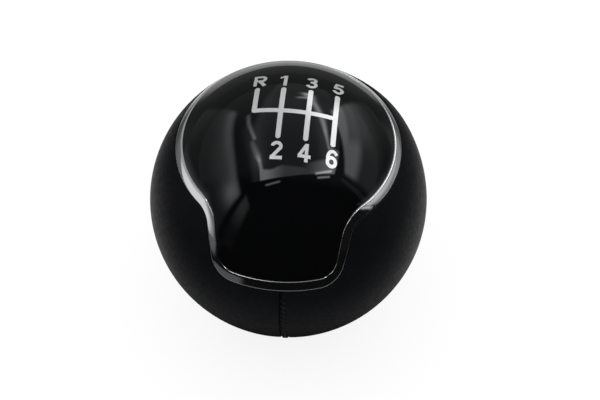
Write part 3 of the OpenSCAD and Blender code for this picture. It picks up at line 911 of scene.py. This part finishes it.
def make_studio():
    """A dome that only glossy rays see, lit as the light tent is, with its closest rows on the ceiling."""
    columns = 360
    tilt = np.radians(np.concatenate([np.arange(1, 36, 0.35), np.arange(36, 62, 0.6), np.arange(62, 116, 1)]))
    turn = np.linspace(0, 2 * math.pi, columns, endpoint=False)
    t, a = np.meshgrid(tilt, turn, indexing="ij")
    d = np.stack([np.sin(t) * np.sin(a), np.sin(t) * np.cos(a), np.cos(t)], axis=-1).reshape(-1, 3)
    faces = grid_faces(len(tilt), columns, False) + fan(len(d), 0, columns)
    d = np.concatenate([d, [[0.0, 0.0, 1.0]]])
    dome, tree = new_stage("studio", d * STUDIO_R, faces, studio_light(d))
    output = tree.nodes.new("ShaderNodeOutputMaterial")
    tree.links.new(level_emission(tree), output.inputs["Surface"])
    dome.visible_camera = False
    dome.visible_diffuse = False
    dome.visible_shadow = False
    dome.visible_transmission = False


# The floor lies just under the foot. Its own glow lifts it to white for the camera.
FLOOR_DROP = 0.05
FLOOR_DIFFUSE = 0.25
FLOOR_GLOW = 0.8


def floor_light(x, y):
    """What glossy surfaces see of the floor, as a painted glow: painted shade under the knob, white round it,
    and dark farther off.
    """
    # Distance from the knob in millimetres, and how far to the right of it that is, from -1 to 1
    away = np.hypot(x, y) / MM + 0.01
    side = x / MM / away
    # Behind the knob it darkens with the distance, most of all to both sides
    back = 1.15 - 0.8 * smooth(55, 105, away) - 0.22 * smooth(110, 145, away)
    flanks = 0.4 * smooth(0.1, 0.4, side) + 0.6 * smooth(-0.5, -0.75, side)
    back = back * (1 - flanks * smooth(70, 100, away))
    back += (0.08 * smooth(-0.6, -0.85, side) + 0.18 * smooth(0.55, 0.75, side)) * smooth(150, 280, away)
    # In the middle it stays bright as far as a straight edge
    board = 1.15 - 0.6 * smooth(55, 85, away) - 0.42 * smooth(147, 153, y / MM)
    back += (board - back) * smooth(-0.62, -0.45, side) * smooth(0.48, 0.34, side)
    # In front it is dark, apart from the knob's surroundings, the far left and one patch
    patch = smooth(-0.76, -0.7, side) * smooth(-0.38, -0.45, side)
    patch = 0.075 * patch * smooth(70, 80, away) * smooth(138, 128, away)
    front = 0.36 * smooth(85, 50, away) + patch
    front += 0.1 * smooth(-0.68, -0.76, side) * smooth(150, 260, away)
    # Under the knob the glow fades out, a painted shadow that the glossy pieces mirror
    return smooth(18, 38, away) * (front + (back - front) * smooth(-30, 20, y / MM)) + 0.004


def make_floor():
    """A white floor that keeps the knob's soft shadow."""
    columns = 240
    away = np.concatenate([np.arange(5, 200, 2.5), [250, 400, 800, 3000]]) * MM
    turn = np.linspace(0, 2 * math.pi, columns, endpoint=False)
    x = np.append(away[:, None] * np.sin(turn), 0)
    y = np.append(away[:, None] * np.cos(turn), 0)
    faces = grid_faces(len(away), columns, False) + fan(len(x) - 1, 0, columns)
    points = np.c_[x, y, np.full(len(x), -FLOOR_DROP * MM)]
    floor, tree = new_stage("floor", points, faces, floor_light(x, y))
    nodes, links = tree.nodes, tree.links
    path = nodes.new("ShaderNodeLightPath")
    white = nodes.new("ShaderNodeBsdfDiffuse")
    white.inputs["Color"].default_value = (FLOOR_DIFFUSE, FLOOR_DIFFUSE, FLOOR_DIFFUSE, 1)
    to_camera = nodes.new("ShaderNodeMath")
    to_camera.operation = "MULTIPLY"
    to_camera.inputs[1].default_value = FLOOR_GLOW
    glow = nodes.new("ShaderNodeEmission")
    both = nodes.new("ShaderNodeAddShader")
    pick = nodes.new("ShaderNodeMixShader")
    output = nodes.new("ShaderNodeOutputMaterial")
    links.new(path.outputs["Is Camera Ray"], to_camera.inputs[0])
    links.new(to_camera.outputs[0], glow.inputs["Strength"])
    links.new(white.outputs[0], both.inputs[0])
    links.new(glow.outputs[0], both.inputs[1])
    links.new(path.outputs["Is Glossy Ray"], pick.inputs[0])
    links.new(both.outputs[0], pick.inputs[1])
    links.new(level_emission(tree), pick.inputs[2])
    links.new(pick.outputs[0], output.inputs["Surface"])


def make_world():
    """White to the camera, plain even light on the knob. Glossy rays meet the studio first."""
    world = bpy.data.worlds.new("world")
    world.use_nodes = True
    world.cycles.sampling_method = "NONE"
    nodes, links = world.node_tree.nodes, world.node_tree.links
    background = nodes["Background"]
    background.inputs["Color"].default_value = (1, 1, 1, 1)
    path = nodes.new("ShaderNodeLightPath")
    level = nodes.new("ShaderNodeMath")
    level.operation = "SUBTRACT"
    level.inputs[0].default_value = 1.0
    links.new(path.outputs["Is Glossy Ray"], level.inputs[1])
    links.new(level.outputs[0], background.inputs["Strength"])
    bpy.context.scene.world = world


def dress(piece, paint, node=None):
    """Gives a piece its material, rides it on the part, and hides the node it replaces."""
    piece.data.materials.append(paint)
    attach(piece, "root")
    if node:
        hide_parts(node)


# The scene: the dressed pieces, the materials of the carried-over nodes, and what lies round the knob

make_camera()
collar_plastic = plastic_paint("collar_plastic", (0.0085, 0.0085, 0.009), (0.012, 0.012, 0.0125), 0.14, 0.48)
dress(make_leather(), leather_paint(), "leather_cover")
dress(make_stitches(), thread_paint(), "seam_thread")
dress(make_ring(), chrome_paint(), "trim_ring")
dress(make_cap(), gloss_paint(), "shift_cap")
dress(make_print(), print_paint())
dress(make_collar(), collar_plastic, "base_collar")

moulded = plastic_paint("moulded_plastic", (0.04, 0.04, 0.042), (0.06, 0.06, 0.063))
core = plastic_paint("core_plastic", (0.058, 0.058, 0.062), (0.082, 0.082, 0.088), 0.25, 0.58)
steel = turned_paint("turned_steel", (0.52, 0.53, 0.54), (0.66, 0.67, 0.68))
spring = turned_paint("spring_steel", (0.34, 0.34, 0.36), (0.46, 0.46, 0.48), 0.08, 0.36)
zinc = turned_paint("zinc_plate", (0.5, 0.5, 0.53), (0.62, 0.62, 0.63), 0.2, 0.3)
rubber = rubber_paint()
finishes = {
    "cap_carrier": moulded, "carrier_screws": zinc, "upper_core": core, "lower_core": core,
    "balance_weight": cast_paint(), "lever_sleeve": steel, "isolator_bush": rubber, "stop_pad": rubber,
    "thrust_washer": spring, "retaining_clip": spring, "clamp_ring": spring,
}
for node_name, finish in finishes.items():
    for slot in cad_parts[node_name].material_slots:
        slot.material = finish
make_floor()
make_studio()
make_world()
bpy.context.scene.view_settings.view_transform = "Standard"
